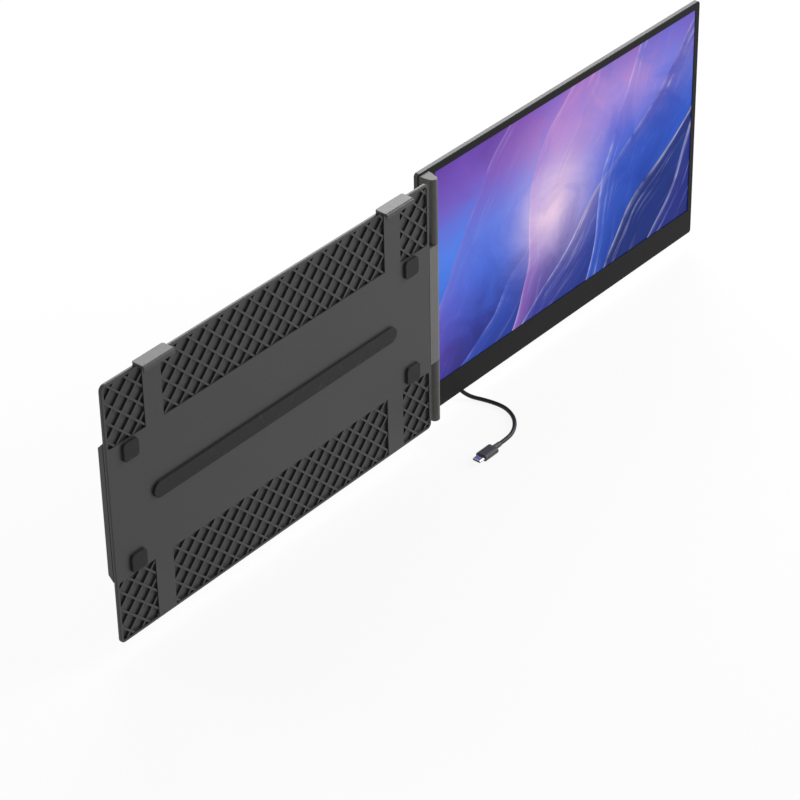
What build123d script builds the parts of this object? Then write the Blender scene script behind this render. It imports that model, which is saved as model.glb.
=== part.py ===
from build123d import *
import os
from math import pi, radians, tan

# Laptop screen extender: a tray that hooks over the lid of a laptop, and a second screen that is
# hinged to the tray's right edge. Millimetres. X runs to the right along the tray, Y runs backwards
# through it and Z runs up. The origin is the middle of the plane that the lid's back rests on.

# The lid that it is made for
lid_thickness = 5.8
lid_clearance = 0.3

# Tray
tray_width = 368.0
tray_height = 232.0
tray_thickness = 3.0
tray_corner = 5.0
tray_front_edge = 0.9
tray_back_edge = 0.6
rim_width = 2.6
rim_height = 0.5
floor_thickness = 0.8
band_half_height = 60.0
lattice_pitch = 16.75
lattice_rib = 1.8
lattice_node_height = 101.0

# Rubber pads between the lid and the tray
pad_thickness = 2.2
pad_size = 16.0
pad_inset = 24.0
centre_pad_length = 280.0
centre_pad_width = 14.0

# Moulding behind the band
cover_depth = 5.6
cover_top = 66.0
cover_bottom = -59.0
cover_slope = 6.0
cover_edge_radius = 1.2

# Spring-loaded hooks
hook_centres = (-132.5, 138.5)
hook_width = 33.0
hook_corner = 2.0
hook_lift = 0.6
hook_plate = 2.4
hook_nose = 2.2
hook_edge = 0.6
hook_lip = 0.9
hook_lip_drop = 1.9
hook_overhang = 0.3
hook_travel = 18.0
liner_thickness = 0.3
liner_inset = 1.2
bar_width = 14.0
bar_thickness = 1.0
slide_clearance = 0.2
guide_wall = 2.4
slider_width = 16.0
slider_height = 8.0
slider_depth = 5.6
slider_bottom = 2.0
spring_wire = 0.7
spring_coil = 3.6
spring_turns = 8
spring_pressed_length = 28.0

# Kickstand
stand_width = 210.0
stand_length = 104.0
stand_thickness = 3.6
stand_gap = 0.3
stand_axis_z = -50.0
stand_pin_radius = 1.0
stand_pin_length = 16.0
foot_height = 5.0
notch_width = 26.0
notch_height = 5.0

# Rear cover screws
screw_head_radius = 1.9
screw_shank_radius = 1.0
screw_columns = (-176.0, -114.0, 117.0, 172.0)
screw_rows = (-44.0, 50.0)

# Hinge
axis_from_tray = 9.5
barrel_radius = 4.5
knuckle_half_height = 55.0
arm_end = 114.6
arm_gap = 0.4
arm_back_width = 12.4
shaft_radius = 1.6
shaft_in_knuckle = 30.0
shaft_in_arm = 42.0
shaft_clearance = 0.05
sleeve_wall = 1.3
leaf_thickness = 1.4
leaf_reach = 22.0
leaf_half_height = 54.0

# Second screen
screen_width = 384.0
screen_height = 232.0
screen_corner = 3.0
screen_front = 16.0
screen_from_axis = 6.0
bezel_thickness = 0.7
active_width = 356.4
active_height = 200.5
border_right = 6.1
border_top = 6.8
edge_depth = 4.4
slim_depth = 6.6
edge_slope = 14.0
shell_wall = 1.2
shell_round = 2.0
module_thickness = 2.3
module_margin = 2.6
module_tail = 6.0
plate_thickness = 0.6

# Rear housing of the screen
housing_inset = 39.0
housing_width = 306.0
housing_bottom = -50.0
housing_top = 30.0
housing_depth = 6.4
housing_wall = 1.4
housing_corner = 8.0
housing_edge = 2.0
board_thickness = 1.0
board_lift = 1.5
socket_depth = 7.3
socket_wall = 0.3
usb_width = 9.0
usb_height = 3.2
usb_tongue_width = 6.7
usb_tongue_thickness = 0.7
hdmi_width = 11.4
hdmi_foot_width = 8.4
hdmi_shoulder = 1.9
hdmi_tongue_width = 7.6
port_inset = 18.5
socket_clearance = 0.15
video_socket_step = 20.0
hdmi_socket_step = 42.0
key_radius = 3.0
key_clearance = 0.3
key_travel = 0.5
key_step = 11.0
speaker_length = 34.0
speaker_height = 14.0
speaker_depth = 3.9
vent_width = 1.6
vent_height = 13.0
vent_pitch = 4.6
vent_count = 20
vent_drop = 14.0

# USB-C lead
lead_radius = 1.8
plug_width = 11.4
plug_thickness = 5.8
plug_length = 19.0
plug_tip_width = 8.3
plug_tip_thickness = 2.5
plug_tip_length = 6.6
plug_tip_wall = 0.5
relief_length = 8.0
relief_radius = 2.5
relief_tip_radius = 2.2
table_level = -128.0
laptop_plug_right = 202.0
laptop_plug_length = 16.0
laptop_plug_y = -48.5

# Worked out from the values above
tray_front = pad_thickness
rib_top = tray_front + rim_height
tray_floor = tray_front + tray_thickness - floor_thickness
lattice_left = -(tray_width / 2 - rim_width)
tray_back = tray_front + tray_thickness
cover_back = tray_back + cover_depth
half_width = tray_width / 2
half_height = tray_height / 2
mouth_front = -(lid_thickness + lid_clearance)
lip_inner = mouth_front - liner_thickness
lip_outer = lip_inner - hook_lip
hook_bottom = half_height + hook_lift
hook_top = hook_bottom + hook_plate
bar_front = tray_front + (tray_thickness - bar_thickness) / 2
bar_back = bar_front + bar_thickness
slot_front = bar_front - slide_clearance
slot_back = bar_back + slide_clearance
guide_half_width = bar_width / 2 + slide_clearance + guide_wall
slider_back = bar_front + slider_depth
slider_top = slider_bottom + slider_height
pocket_top = slider_top + hook_travel + spring_pressed_length
pocket_bottom = slider_bottom - 0.3
pocket_half_width = slider_width / 2 + slide_clearance
pocket_back = slider_back + slide_clearance
spring_y = (tray_back + pocket_back) / 2
stand_face = cover_back - stand_thickness
stand_floor = stand_face - stand_gap
stand_axis_y = cover_back - stand_thickness / 2
stand_tip = stand_axis_z + stand_length
axis_x = half_width + axis_from_tray
axis_y = tray_front + barrel_radius
screen_left = axis_x - screen_from_axis
screen_right = screen_left + screen_width
screen_half_height = screen_height / 2
active_right = screen_right - border_right
active_top = screen_half_height - border_top
active_centre = (active_right - active_width / 2, active_top - active_height / 2)
screen_centre = (screen_left + screen_width / 2, 0)
bezel_back = screen_front + bezel_thickness
screen_edge_back = screen_front + edge_depth
screen_back = screen_front + slim_depth
module_back = bezel_back + module_thickness
housing_back = screen_back + housing_depth
housing_inside = housing_back - housing_wall
housing_left = screen_left + housing_inset
housing_right = housing_left + housing_width
housing_centre = (housing_left + housing_width / 2, (housing_top + housing_bottom) / 2)
port_x = housing_left + port_inset
board_front = screen_back - shell_wall + board_lift + 0.2
board_back = board_front + board_thickness
socket_y = board_back + usb_height / 2
key_x = housing_right - 36.0
key_z = housing_bottom + 12.0
key_inside = housing_inside - 0.1
leaf_x = screen_left + 1.7


def facing(y):
    """Sketch plane at depth y, seen from the user's side: X to the right, Z up."""
    return Plane(origin=(0, y, 0), x_dir=(1, 0, 0), z_dir=(0, -1, 0))


def write(piece, label):
    """Names a finished piece and writes its STEP file."""
    piece.part.label = label
    export_step(piece.part, f"parts/{label}.step")


def lattice_zones():
    """Middle heights of the two ribbed zones, and their size."""
    zone_height = half_height - rim_width - band_half_height
    middle = band_half_height + zone_height / 2
    return (-middle, middle), tray_width - 2 * rim_width, zone_height


def tray_frame():
    zones, zone_width, zone_height = lattice_zones()
    rib_reach = int(zone_height / lattice_pitch) + 1
    rib_count = int(zone_width / lattice_pitch) + 1
    with BuildPart() as tray:
        with BuildSketch(facing(tray_back)):
            RectangleRounded(tray_width, tray_height, tray_corner)
        extrude(amount=tray_thickness)
        fillet(tray.faces().sort_by(Axis.Y)[0].edges(), tray_front_edge)
        chamfer(tray.faces().sort_by(Axis.Y)[-1].edges(), tray_back_edge)
        for middle in zones:
            with BuildSketch(facing(rib_top)):
                with Locations((0, middle)):
                    RectangleRounded(zone_width, zone_height, tray_corner - rim_width)
                with Locations(*[(x, middle) for x in hook_centres]):
                    Rectangle(2 * guide_half_width, zone_height, mode=Mode.SUBTRACT)
            extrude(amount=rim_height, mode=Mode.SUBTRACT)
        for middle in zones:
            with BuildSketch(facing(tray_floor)):
                with Locations((0, middle)):
                    RectangleRounded(zone_width, zone_height, tray_corner - rim_width)
                with Locations(*[(x, middle) for x in hook_centres]):
                    Rectangle(2 * guide_half_width, zone_height, mode=Mode.SUBTRACT)
                node_height = lattice_node_height if middle > 0 else -lattice_node_height
                for step in range(-rib_reach, rib_count + rib_reach):
                    for slant in (-45, 45):
                        with Locations((lattice_left + step * lattice_pitch, node_height)):
                            Rectangle(3 * zone_height, lattice_rib, rotation=slant, mode=Mode.SUBTRACT)
            extrude(amount=tray_floor - rib_top, mode=Mode.SUBTRACT)
        for x in hook_centres:
            with BuildSketch(facing(tray_back)):
                with Locations((x, (pocket_top + half_height) / 2)):
                    Rectangle(bar_width + 2 * slide_clearance, half_height - pocket_top + 0.01)
            extrude(amount=tray_back - slot_front, mode=Mode.SUBTRACT)
            with BuildSketch(facing(tray_back)):
                with Locations((x, (pocket_top + pocket_bottom) / 2)):
                    Rectangle(2 * pocket_half_width, pocket_top - pocket_bottom)
            extrude(amount=tray_back - slot_front, mode=Mode.SUBTRACT)
        with BuildSketch(facing(tray_back)):
            with Locations((half_width - leaf_reach / 2, 0)):
                Rectangle(leaf_reach, 2 * leaf_half_height)
        extrude(amount=leaf_thickness, mode=Mode.SUBTRACT)
        with BuildSketch(facing(tray_back)):
            with Locations(*screw_points()):
                Circle(screw_shank_radius)
        extrude(amount=tray_thickness - 1.0, mode=Mode.SUBTRACT)
    write(tray, "tray_frame")


def screw_points():
    return [(x, z) for x in screw_columns for z in screw_rows]


def channel_covers():
    length = half_height - pocket_top
    for side, x in zip(("left", "right"), hook_centres):
        with BuildPart() as channel_cover:
            with BuildSketch(facing(tray_back)):
                with Locations((x, pocket_top + length / 2)):
                    Rectangle(bar_width + 2 * slide_clearance, length)
            extrude(amount=tray_back - slot_back)
            outer_edges = channel_cover.edges().filter_by(Axis.X).group_by(Axis.Z)[-1]
            chamfer(outer_edges.sort_by(Axis.Y)[-1], tray_back_edge)
        write(channel_cover, f"channel_cover_{side}")


def lid_pads():
    with BuildPart() as centre_pad:
        with BuildSketch(facing(tray_front)):
            SlotOverall(centre_pad_length, centre_pad_width)
        extrude(amount=pad_thickness)
        fillet(centre_pad.faces().sort_by(Axis.Y)[0].edges(), 0.5)
    write(centre_pad, "lid_pad_centre")
    corners = {
        "lid_pad_upper_left": (-1, 1),
        "lid_pad_upper_right": (1, 1),
        "lid_pad_lower_left": (-1, -1),
        "lid_pad_lower_right": (1, -1),
    }
    for label, (side, end) in corners.items():
        middle = (side * (half_width - pad_inset), end * (band_half_height - pad_size / 2 - 2))
        with BuildPart() as corner_pad:
            with BuildSketch(facing(tray_front)):
                with Locations(middle):
                    RectangleRounded(pad_size, pad_size, 3)
            extrude(amount=pad_thickness)
            fillet(corner_pad.faces().sort_by(Axis.Y)[0].edges(), 0.5)
        write(corner_pad, label)


def rear_cover():
    with BuildPart() as cover:
        with BuildSketch(Plane.YZ.offset(-half_width)):
            with BuildLine():
                Polyline(
                    (tray_back, cover_bottom),
                    (cover_back, cover_bottom + cover_slope),
                    (cover_back, cover_top - cover_slope),
                    (tray_back, cover_top),
                    close=True,
                )
            make_face()
        extrude(amount=tray_width)
        rear_face = cover.faces().sort_by(Axis.Y)[-1]
        fillet(rear_face.edges(), cover_edge_radius)
        for x in hook_centres:
            with BuildSketch(facing(pocket_back)):
                with Locations((x, (pocket_top + pocket_bottom) / 2)):
                    Rectangle(2 * pocket_half_width, pocket_top - pocket_bottom)
            extrude(amount=pocket_back - tray_back, mode=Mode.SUBTRACT)
        recess_top = stand_tip + stand_gap
        recess_bottom = cover_bottom - 1
        with BuildSketch(facing(cover_back + 1)):
            with Locations((0, (recess_top + recess_bottom) / 2)):
                Rectangle(stand_width + 2 * stand_gap, recess_top - recess_bottom)
            with Locations((0, recess_top)):
                Ellipse(notch_width / 2, notch_height)
        extrude(amount=cover_back + 1 - stand_floor, mode=Mode.SUBTRACT)
        with BuildSketch(Plane.YZ.offset(-stand_width / 2 - stand_pin_length)):
            with Locations((stand_axis_y, stand_axis_z)):
                Circle(stand_pin_radius)
        extrude(amount=stand_width + 2 * stand_pin_length, mode=Mode.SUBTRACT)
        with Locations(*[Plane(origin=(x, cover_back, z), z_dir=(0, 1, 0)) for x, z in screw_points()]):
            CounterSinkHole(screw_shank_radius, screw_head_radius, cover_depth, 90)
    write(cover, "rear_cover")


def cover_screws():
    head_depth = screw_head_radius - screw_shank_radius
    tip = tray_front + 1.2
    with BuildPart() as screws:
        with BuildSketch(Plane.XY) as outline:
            with BuildLine():
                Polyline(
                    (0, tip),
                    (screw_shank_radius - 0.02, tip),
                    (screw_shank_radius - 0.02, cover_back - head_depth - 0.03),
                    (screw_head_radius - 0.16, cover_back - 0.05),
                    (0, cover_back - 0.05),
                    close=True,
                )
            make_face()
        screw = revolve(outline.sketch, axis=Axis.Y, mode=Mode.PRIVATE)
        with Locations(*[(x, 0, z) for x, z in screw_points()]):
            add(screw)
    write(screws, "cover_screws")


def hooks():
    hook_back = tray_back + hook_overhang
    lip_bottom = hook_bottom - hook_lip_drop
    for side, x in zip(("left", "right"), hook_centres):
        with BuildPart() as hook:
            with BuildSketch(Plane.YZ.offset(x - hook_width / 2)):
                with BuildLine():
                    side_line = Polyline(
                        (lip_outer, hook_top - hook_nose),
                        (lip_outer, lip_bottom),
                        (lip_inner, lip_bottom),
                        (lip_inner, hook_bottom),
                        (hook_back, hook_bottom),
                        (hook_back, hook_top),
                        (lip_outer + hook_nose, hook_top),
                    )
                    RadiusArc(side_line @ 1, side_line @ 0, -hook_nose)
                make_face()
            extrude(amount=hook_width)
            fillet(hook.edges().filter_by(Axis.Z).group_by(Axis.Y)[-1], hook_corner)
            top_rim = hook.faces().sort_by(Axis.Z)[-1].edges().sort_by(Axis.Y)[1:]
            nose_ends = hook.edges().filter_by(GeomType.CIRCLE).group_by(Axis.Y)[0]
            fillet(top_rim + nose_ends, hook_edge)
            with BuildSketch(facing(bar_back)):
                with Locations((x, (hook_bottom + slider_top) / 2)):
                    Rectangle(bar_width, hook_bottom - slider_top + 0.4)
            extrude(amount=bar_thickness)
        write(hook, f"hook_{side}")
        with BuildPart() as liner:
            with BuildSketch(Plane.YZ.offset(x - hook_width / 2 + liner_inset)):
                with BuildLine():
                    Polyline(
                        (lip_inner, lip_bottom + 0.3),
                        (mouth_front, lip_bottom + 0.3),
                        (mouth_front, hook_bottom - liner_thickness),
                        (0, hook_bottom - liner_thickness),
                        (0, hook_bottom),
                        (lip_inner, hook_bottom),
                        close=True,
                    )
                make_face()
            extrude(amount=hook_width - 2 * liner_inset)
        write(liner, f"hook_liner_{side}")
        with BuildPart() as slider:
            with BuildSketch(facing(slider_back)):
                with Locations((x, (slider_top + slider_bottom) / 2)):
                    RectangleRounded(slider_width, slider_height, 1)
            extrude(amount=slider_depth)
            with BuildSketch(facing(bar_back)):
                with Locations((x, slider_top)):
                    Rectangle(bar_width, 0.4)
            extrude(amount=bar_thickness, mode=Mode.SUBTRACT)
        write(slider, f"hook_slider_{side}")


def hook_springs():
    length = pocket_top - slider_top - spring_wire
    for side, x in zip(("left", "right"), hook_centres):
        base = (x, spring_y, slider_top + spring_wire / 2)
        with BuildPart() as spring:
            with BuildLine():
                coil = Helix(length / spring_turns, length, (spring_coil - spring_wire) / 2, center=base)
            with BuildSketch(Plane(origin=coil @ 0, z_dir=coil % 0)):
                RegularPolygon(spring_wire / 2, 6)
            sweep()
        write(spring, f"hook_spring_{side}")


def kickstand():
    with BuildPart() as stand:
        with BuildSketch(Plane.YZ.offset(-stand_width / 2)):
            with Locations((stand_axis_y, stand_axis_z)):
                Circle(stand_thickness / 2)
            with Locations((stand_axis_y, stand_axis_z + (stand_length - foot_height) / 2)):
                Rectangle(stand_thickness, stand_length - foot_height)
        extrude(amount=stand_width)
        fillet(stand.edges().filter_by(Axis.Z).group_by(Axis.Y)[-1], 1.0)
        with BuildSketch(facing(stand_face + 2.0)):
            with Locations((-stand_width / 4, stand_axis_z + 50), (stand_width / 4, stand_axis_z + 50)):
                RectangleRounded(stand_width / 2 - 12, 80, 4)
        extrude(amount=2.0, mode=Mode.SUBTRACT)
        with BuildSketch(Plane.YZ.offset(-stand_width / 2)):
            with Locations((stand_axis_y, stand_axis_z)):
                Circle(stand_pin_radius + shaft_clearance)
        extrude(amount=stand_width, mode=Mode.SUBTRACT)
    write(stand, "kickstand_plate")
    with BuildPart() as foot:
        with BuildSketch(Plane.YZ.offset(-stand_width / 2)):
            with Locations((stand_axis_y, stand_tip - foot_height / 2)):
                RectangleRounded(stand_thickness, foot_height, 1.2)
            with Locations((stand_axis_y, stand_tip - foot_height + 1)):
                Rectangle(stand_thickness, 2)
        extrude(amount=stand_width)
    write(foot, "kickstand_foot")
    for side, sign in (("left", -1), ("right", 1)):
        reach = 12.0
        middle = sign * (stand_width / 2 + (stand_pin_length - reach) / 2)
        with BuildPart() as pin:
            with BuildSketch(Plane.YZ.offset(middle - (stand_pin_length + reach) / 2)):
                with Locations((stand_axis_y, stand_axis_z)):
                    Circle(stand_pin_radius)
            extrude(amount=stand_pin_length + reach)
        write(pin, f"kickstand_pin_{side}")


def hinge_knuckle():
    bore_half = knuckle_half_height - shaft_in_knuckle
    with BuildPart() as knuckle:
        with BuildSketch(Plane.XY.offset(-knuckle_half_height)):
            with BuildLine():
                Polyline(
                    (axis_x, axis_y + barrel_radius),
                    (half_width, cover_back),
                    (half_width, tray_front),
                    (axis_x, tray_front),
                )
                ThreePointArc(
                    (axis_x, tray_front),
                    (axis_x + barrel_radius, axis_y),
                    (axis_x, axis_y + barrel_radius),
                )
            make_face()
        extrude(amount=2 * knuckle_half_height)
        with BuildSketch(facing(tray_back)):
            with Locations((half_width - leaf_reach / 2 + 0.5, 0)):
                RectangleRounded(leaf_reach + 1, 2 * leaf_half_height - 0.4, 3)
        extrude(amount=leaf_thickness - 0.1)
        for start in (-knuckle_half_height, bore_half):
            with BuildSketch(Plane.XY.offset(start)):
                with Locations((axis_x, axis_y)):
                    Circle(shaft_radius)
            extrude(amount=shaft_in_knuckle, mode=Mode.SUBTRACT)
        with BuildSketch(facing(tray_back)):
            with Locations(*[(x, z) for x, z in screw_points() if x > half_width - leaf_reach]):
                Circle(screw_shank_radius)
        extrude(amount=leaf_thickness, mode=Mode.SUBTRACT)
    write(knuckle, "hinge_knuckle")


def hinge_shafts():
    length = shaft_in_knuckle + arm_gap + shaft_in_arm
    for label, direction in (("upper", 1), ("lower", -1)):
        start = direction * (knuckle_half_height - shaft_in_knuckle)
        with BuildPart() as shaft:
            with BuildSketch(Plane.XY.offset(start)):
                with Locations((axis_x, axis_y)):
                    Circle(shaft_radius)
            extrude(amount=direction * length)
        write(shaft, f"hinge_shaft_{label}")
        arm_start = direction * (knuckle_half_height + arm_gap)
        with BuildPart() as sleeve:
            with BuildSketch(Plane.XY.offset(arm_start)):
                with Locations((axis_x, axis_y)):
                    Circle(shaft_radius + shaft_clearance + sleeve_wall)
                    Circle(shaft_radius + shaft_clearance, mode=Mode.SUBTRACT)
            extrude(amount=direction * shaft_in_arm)
        write(sleeve, f"hinge_sleeve_{label}")


def peg_heights(direction):
    return [direction * (knuckle_half_height + reach) for reach in (14.0, 46.0)]


def hinge_arms():
    arm_left = screen_left + 0.6
    arm_right = arm_left + arm_back_width
    for label, direction in (("upper", 1), ("lower", -1)):
        start = direction * (knuckle_half_height + arm_gap)
        length = direction * (arm_end - knuckle_half_height - arm_gap)
        with BuildPart() as arm:
            with BuildSketch(Plane.XY.offset(start)):
                with BuildLine():
                    Polyline(
                        (axis_x - barrel_radius, axis_y),
                        (arm_left, screen_front),
                        (arm_right, screen_front),
                        (arm_right - 0.9, axis_y + 4.2),
                        (axis_x + barrel_radius, axis_y),
                    )
                    ThreePointArc(
                        (axis_x + barrel_radius, axis_y),
                        (axis_x, axis_y - barrel_radius),
                        (axis_x - barrel_radius, axis_y),
                    )
                make_face()
            extrude(amount=length)
            far_face = arm.faces().sort_by(Axis.Z)[-1 if direction > 0 else 0]
            chamfer(far_face.edges().sort_by(Axis.Y)[:-1], 0.6)
            with BuildSketch(Plane.XY.offset(start)):
                with Locations((axis_x, axis_y)):
                    Circle(shaft_radius + shaft_clearance + sleeve_wall)
            extrude(amount=direction * (shaft_in_arm + 0.4), mode=Mode.SUBTRACT)
            with BuildSketch(facing(screen_front)):
                with Locations(*[(leaf_x + 6, z) for z in peg_heights(direction)]):
                    Circle(2.0)
            extrude(amount=-bezel_thickness)
            with BuildSketch(facing(bezel_back)):
                with Locations(*[(leaf_x + 6, z) for z in peg_heights(direction)]):
                    Circle(screw_shank_radius)
            extrude(amount=6, mode=Mode.SUBTRACT)
        write(arm, f"hinge_arm_{label}")
        with BuildPart() as leaf:
            with BuildSketch(facing(bezel_back + leaf_thickness)):
                with Locations((leaf_x + 6, direction * (knuckle_half_height + 30))):
                    RectangleRounded(12, 50, 2)
                with Locations(*[(leaf_x + 6, z) for z in peg_heights(direction)]):
                    Circle(screw_shank_radius, mode=Mode.SUBTRACT)
            extrude(amount=leaf_thickness)
        write(leaf, f"hinge_leaf_{label}")
    with BuildPart() as arm_screws:
        head = bezel_back + leaf_thickness
        points = [(leaf_x + 6, z) for direction in (-1, 1) for z in peg_heights(direction)]
        with BuildSketch(facing(head)):
            with Locations(*points):
                Circle(screw_shank_radius - 0.02)
        extrude(amount=6.5)
        with BuildSketch(facing(head)):
            with Locations(*points):
                Circle(screw_head_radius)
        extrude(amount=-0.7)
    write(arm_screws, "hinge_arm_screws")


def screen_outline(inset=0.0):
    with Locations(screen_centre):
        RectangleRounded(screen_width - 2 * inset, screen_height - 2 * inset, max(screen_corner - inset, 1))


def screen_bezel():
    with BuildPart() as bezel:
        with BuildSketch(facing(bezel_back)):
            screen_outline()
            with Locations(active_centre):
                Rectangle(active_width + 0.4, active_height + 0.4, mode=Mode.SUBTRACT)
            pegs = [(leaf_x + 6, z) for direction in (-1, 1) for z in peg_heights(direction)]
            with Locations(*pegs):
                Circle(2.05, mode=Mode.SUBTRACT)
        extrude(amount=bezel_thickness)
        front_rim = bezel.faces().sort_by(Axis.Y)[0].outer_wire().edges()
        chamfer(front_rim, 0.3)
    write(bezel, "screen_bezel")


def display_module():
    with BuildPart() as panel:
        width = active_width + 2 * module_margin
        height = active_height + module_margin + module_tail
        middle = (active_centre[0], active_centre[1] - (module_tail - module_margin) / 2)
        with BuildSketch(facing(module_back)):
            with Locations(middle):
                Rectangle(width, height)
        extrude(amount=module_thickness)
    write(panel, "display_panel")
    with BuildPart() as backlight:
        with BuildSketch(facing(module_back + plate_thickness)):
            with Locations(screen_centre):
                Rectangle(screen_width - 2 * edge_slope - 12, screen_height - 2 * edge_slope - 12)
                with GridLocations(screen_width / 4, screen_height / 3, 3, 2):
                    RectangleRounded(60, 50, 5, mode=Mode.SUBTRACT)
        extrude(amount=plate_thickness)
    write(backlight, "backlight_plate")


def socket_places():
    return {
        "usb_c_power_socket": port_x,
        "usb_c_video_socket": port_x + video_socket_step,
        "mini_hdmi_socket": port_x + hdmi_socket_step,
    }


def socket_mouth(label, gap=0.0):
    """Outline of a socket, grown by a gap: round ends for USB-C, a narrower foot for mini-HDMI."""
    x = socket_places()[label]
    if label == "mini_hdmi_socket":
        top = socket_y - usb_height / 2 - gap
        bottom = socket_y + usb_height / 2 + gap
        Polygon(
            (x - hdmi_width / 2 - gap, top),
            (x - hdmi_width / 2 - gap, top + hdmi_shoulder),
            (x - hdmi_foot_width / 2 - gap, bottom),
            (x + hdmi_foot_width / 2 + gap, bottom),
            (x + hdmi_width / 2 + gap, top + hdmi_shoulder),
            (x + hdmi_width / 2 + gap, top),
            align=None,
        )
    else:
        with Locations((x, socket_y)):
            SlotOverall(usb_width + 2 * gap, usb_height + 2 * gap)


def speaker_centres():
    return (housing_centre[0] + 2, housing_centre[0] + 78)


def key_points():
    labels = ("power", "menu", "source")
    return {label: (key_x + place * key_step, key_z) for place, label in enumerate(labels)}


def screen_back_shell():
    slope_inside = edge_slope + shell_wall
    with BuildPart() as shell:
        with BuildSketch(facing(screen_edge_back)):
            screen_outline()
        extrude(amount=screen_edge_back - bezel_back)
        with BuildSketch(facing(screen_edge_back)):
            screen_outline()
        with BuildSketch(facing(screen_back)):
            screen_outline(edge_slope)
        loft()
        fillet(shell.faces().sort_by(Axis.Y)[-1].edges(), shell_round)
        with BuildSketch(facing(housing_back)):
            with Locations(housing_centre):
                RectangleRounded(housing_width, housing_top - housing_bottom, housing_corner)
        extrude(amount=housing_back - screen_back + 0.6)
        fillet(shell.faces().sort_by(Axis.Y)[-1].edges(), housing_edge)
        with BuildSketch(facing(screen_edge_back - shell_wall)):
            screen_outline(shell_wall)
        extrude(amount=screen_edge_back - shell_wall - bezel_back, mode=Mode.SUBTRACT)
        with BuildSketch(facing(screen_edge_back - shell_wall)):
            screen_outline(shell_wall)
        with BuildSketch(facing(screen_back - shell_wall)):
            screen_outline(slope_inside)
        loft(mode=Mode.SUBTRACT)
        with BuildSketch(facing(housing_inside)):
            with Locations(housing_centre):
                inner_width = housing_width - 2 * housing_wall
                inner_height = housing_top - housing_bottom - 2 * housing_wall
                RectangleRounded(inner_width, inner_height, housing_corner - housing_wall)
        extrude(amount=housing_inside - screen_back + shell_wall + 0.2, mode=Mode.SUBTRACT)
        with BuildSketch(facing(housing_inside)):
            with Locations(*board_posts()):
                Circle(2.5)
        extrude(amount=housing_inside - board_back)
        for label in socket_places():
            with BuildSketch(Plane.XY.offset(housing_bottom)):
                socket_mouth(label, socket_clearance)
            extrude(amount=housing_wall + 0.5, mode=Mode.SUBTRACT)
        with BuildSketch(facing(housing_back)):
            with Locations((housing_centre[0], housing_top - vent_drop)):
                with GridLocations(vent_pitch, 1, vent_count, 1):
                    SlotOverall(vent_height, vent_width, rotation=90)
        extrude(amount=housing_wall + 0.1, mode=Mode.SUBTRACT)
        with BuildSketch(Plane.XY.offset(housing_bottom)):
            for x in speaker_centres():
                with Locations((x, housing_inside - speaker_depth / 2)):
                    with GridLocations(3.4, 1, 8, 1):
                        Rectangle(1.2, 2.4)
        extrude(amount=housing_wall + 0.5, mode=Mode.SUBTRACT)
        with BuildSketch(facing(housing_back)):
            with Locations(*key_points().values()):
                Circle(key_radius + key_clearance)
        extrude(amount=housing_wall + 0.1, mode=Mode.SUBTRACT)
    write(shell, "screen_back_shell")


def board_posts():
    main = [(x, z) for x in (port_x - 5, port_x + 101) for z in (-34.0, 4.0)]
    return main + [(key_x + place * key_step, key_z + 4.0) for place in (0.5, 1.5)]


def electronics():
    with BuildPart() as board:
        with BuildSketch(facing(board_back)):
            with Locations((port_x + 48, -20)):
                RectangleRounded(120, 56, 2)
        extrude(amount=board_thickness)
        with BuildSketch(facing(board_back)):
            with Locations((port_x + 28, -12), (port_x + 80, -12)):
                Rectangle(14, 14)
            with Locations((port_x + 54, -16)):
                Rectangle(9, 22)
        extrude(amount=-1.4)
    write(board, "driver_board")
    for label, x in socket_places().items():
        mouth = housing_bottom + 0.1
        tongue_width = hdmi_tongue_width if label == "mini_hdmi_socket" else usb_tongue_width
        with BuildPart() as socket:
            with BuildSketch(Plane.XY.offset(mouth)):
                socket_mouth(label)
            extrude(amount=socket_depth)
            with BuildSketch(Plane.XY.offset(mouth)):
                socket_mouth(label, -socket_wall)
            extrude(amount=socket_depth - socket_wall, mode=Mode.SUBTRACT)
            with BuildSketch(Plane.XY.offset(mouth + 1.2)):
                with Locations((x, socket_y)):
                    Rectangle(tongue_width, usb_tongue_thickness)
            extrude(amount=socket_depth - 1.2)
        write(socket, label)
    for side, x in zip(("left", "right"), speaker_centres()):
        with BuildPart() as speaker:
            with BuildSketch(facing(housing_inside)):
                with Locations((x, housing_bottom + housing_wall + 0.1 + speaker_height / 2)):
                    RectangleRounded(speaker_length, speaker_height, 3)
            extrude(amount=speaker_depth)
            with BuildSketch(facing(housing_inside - speaker_depth)):
                with Locations((x, housing_bottom + housing_wall + 0.1 + speaker_height / 2)):
                    SlotOverall(speaker_length - 8, speaker_height - 4)
                    SlotOverall(speaker_length - 12, speaker_height - 8, mode=Mode.SUBTRACT)
            extrude(amount=-0.5, mode=Mode.SUBTRACT)
        write(speaker, f"speaker_{side}")


def control_keys():
    middle = key_x + key_step - 1
    with BuildPart() as control_board:
        with BuildSketch(facing(board_back)):
            with Locations((middle, key_z)):
                RectangleRounded(3 * key_step + 12, 12, 1)
        extrude(amount=board_thickness)
        with BuildSketch(facing(board_back)):
            with Locations(*key_points().values()):
                Rectangle(4.6, 4.6)
        extrude(amount=-0.9)
    write(control_board, "control_board")
    for label, place in key_points().items():
        with BuildPart() as key:
            with BuildSketch(facing(housing_back + 0.7)):
                with Locations(place):
                    Circle(key_radius)
            extrude(amount=housing_back + 0.7 - key_inside)
            fillet(key.faces().sort_by(Axis.Y)[-1].edges(), 0.5)
            with BuildSketch(facing(key_inside)):
                with Locations(place):
                    Circle(key_radius + 1.0)
            extrude(amount=0.8)
            with BuildSketch(facing(key_inside)):
                with Locations(place):
                    Circle(1.3)
            extrude(amount=key_inside - board_back - 0.9 - key_travel - 0.2)
        write(key, f"{label}_key")


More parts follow.
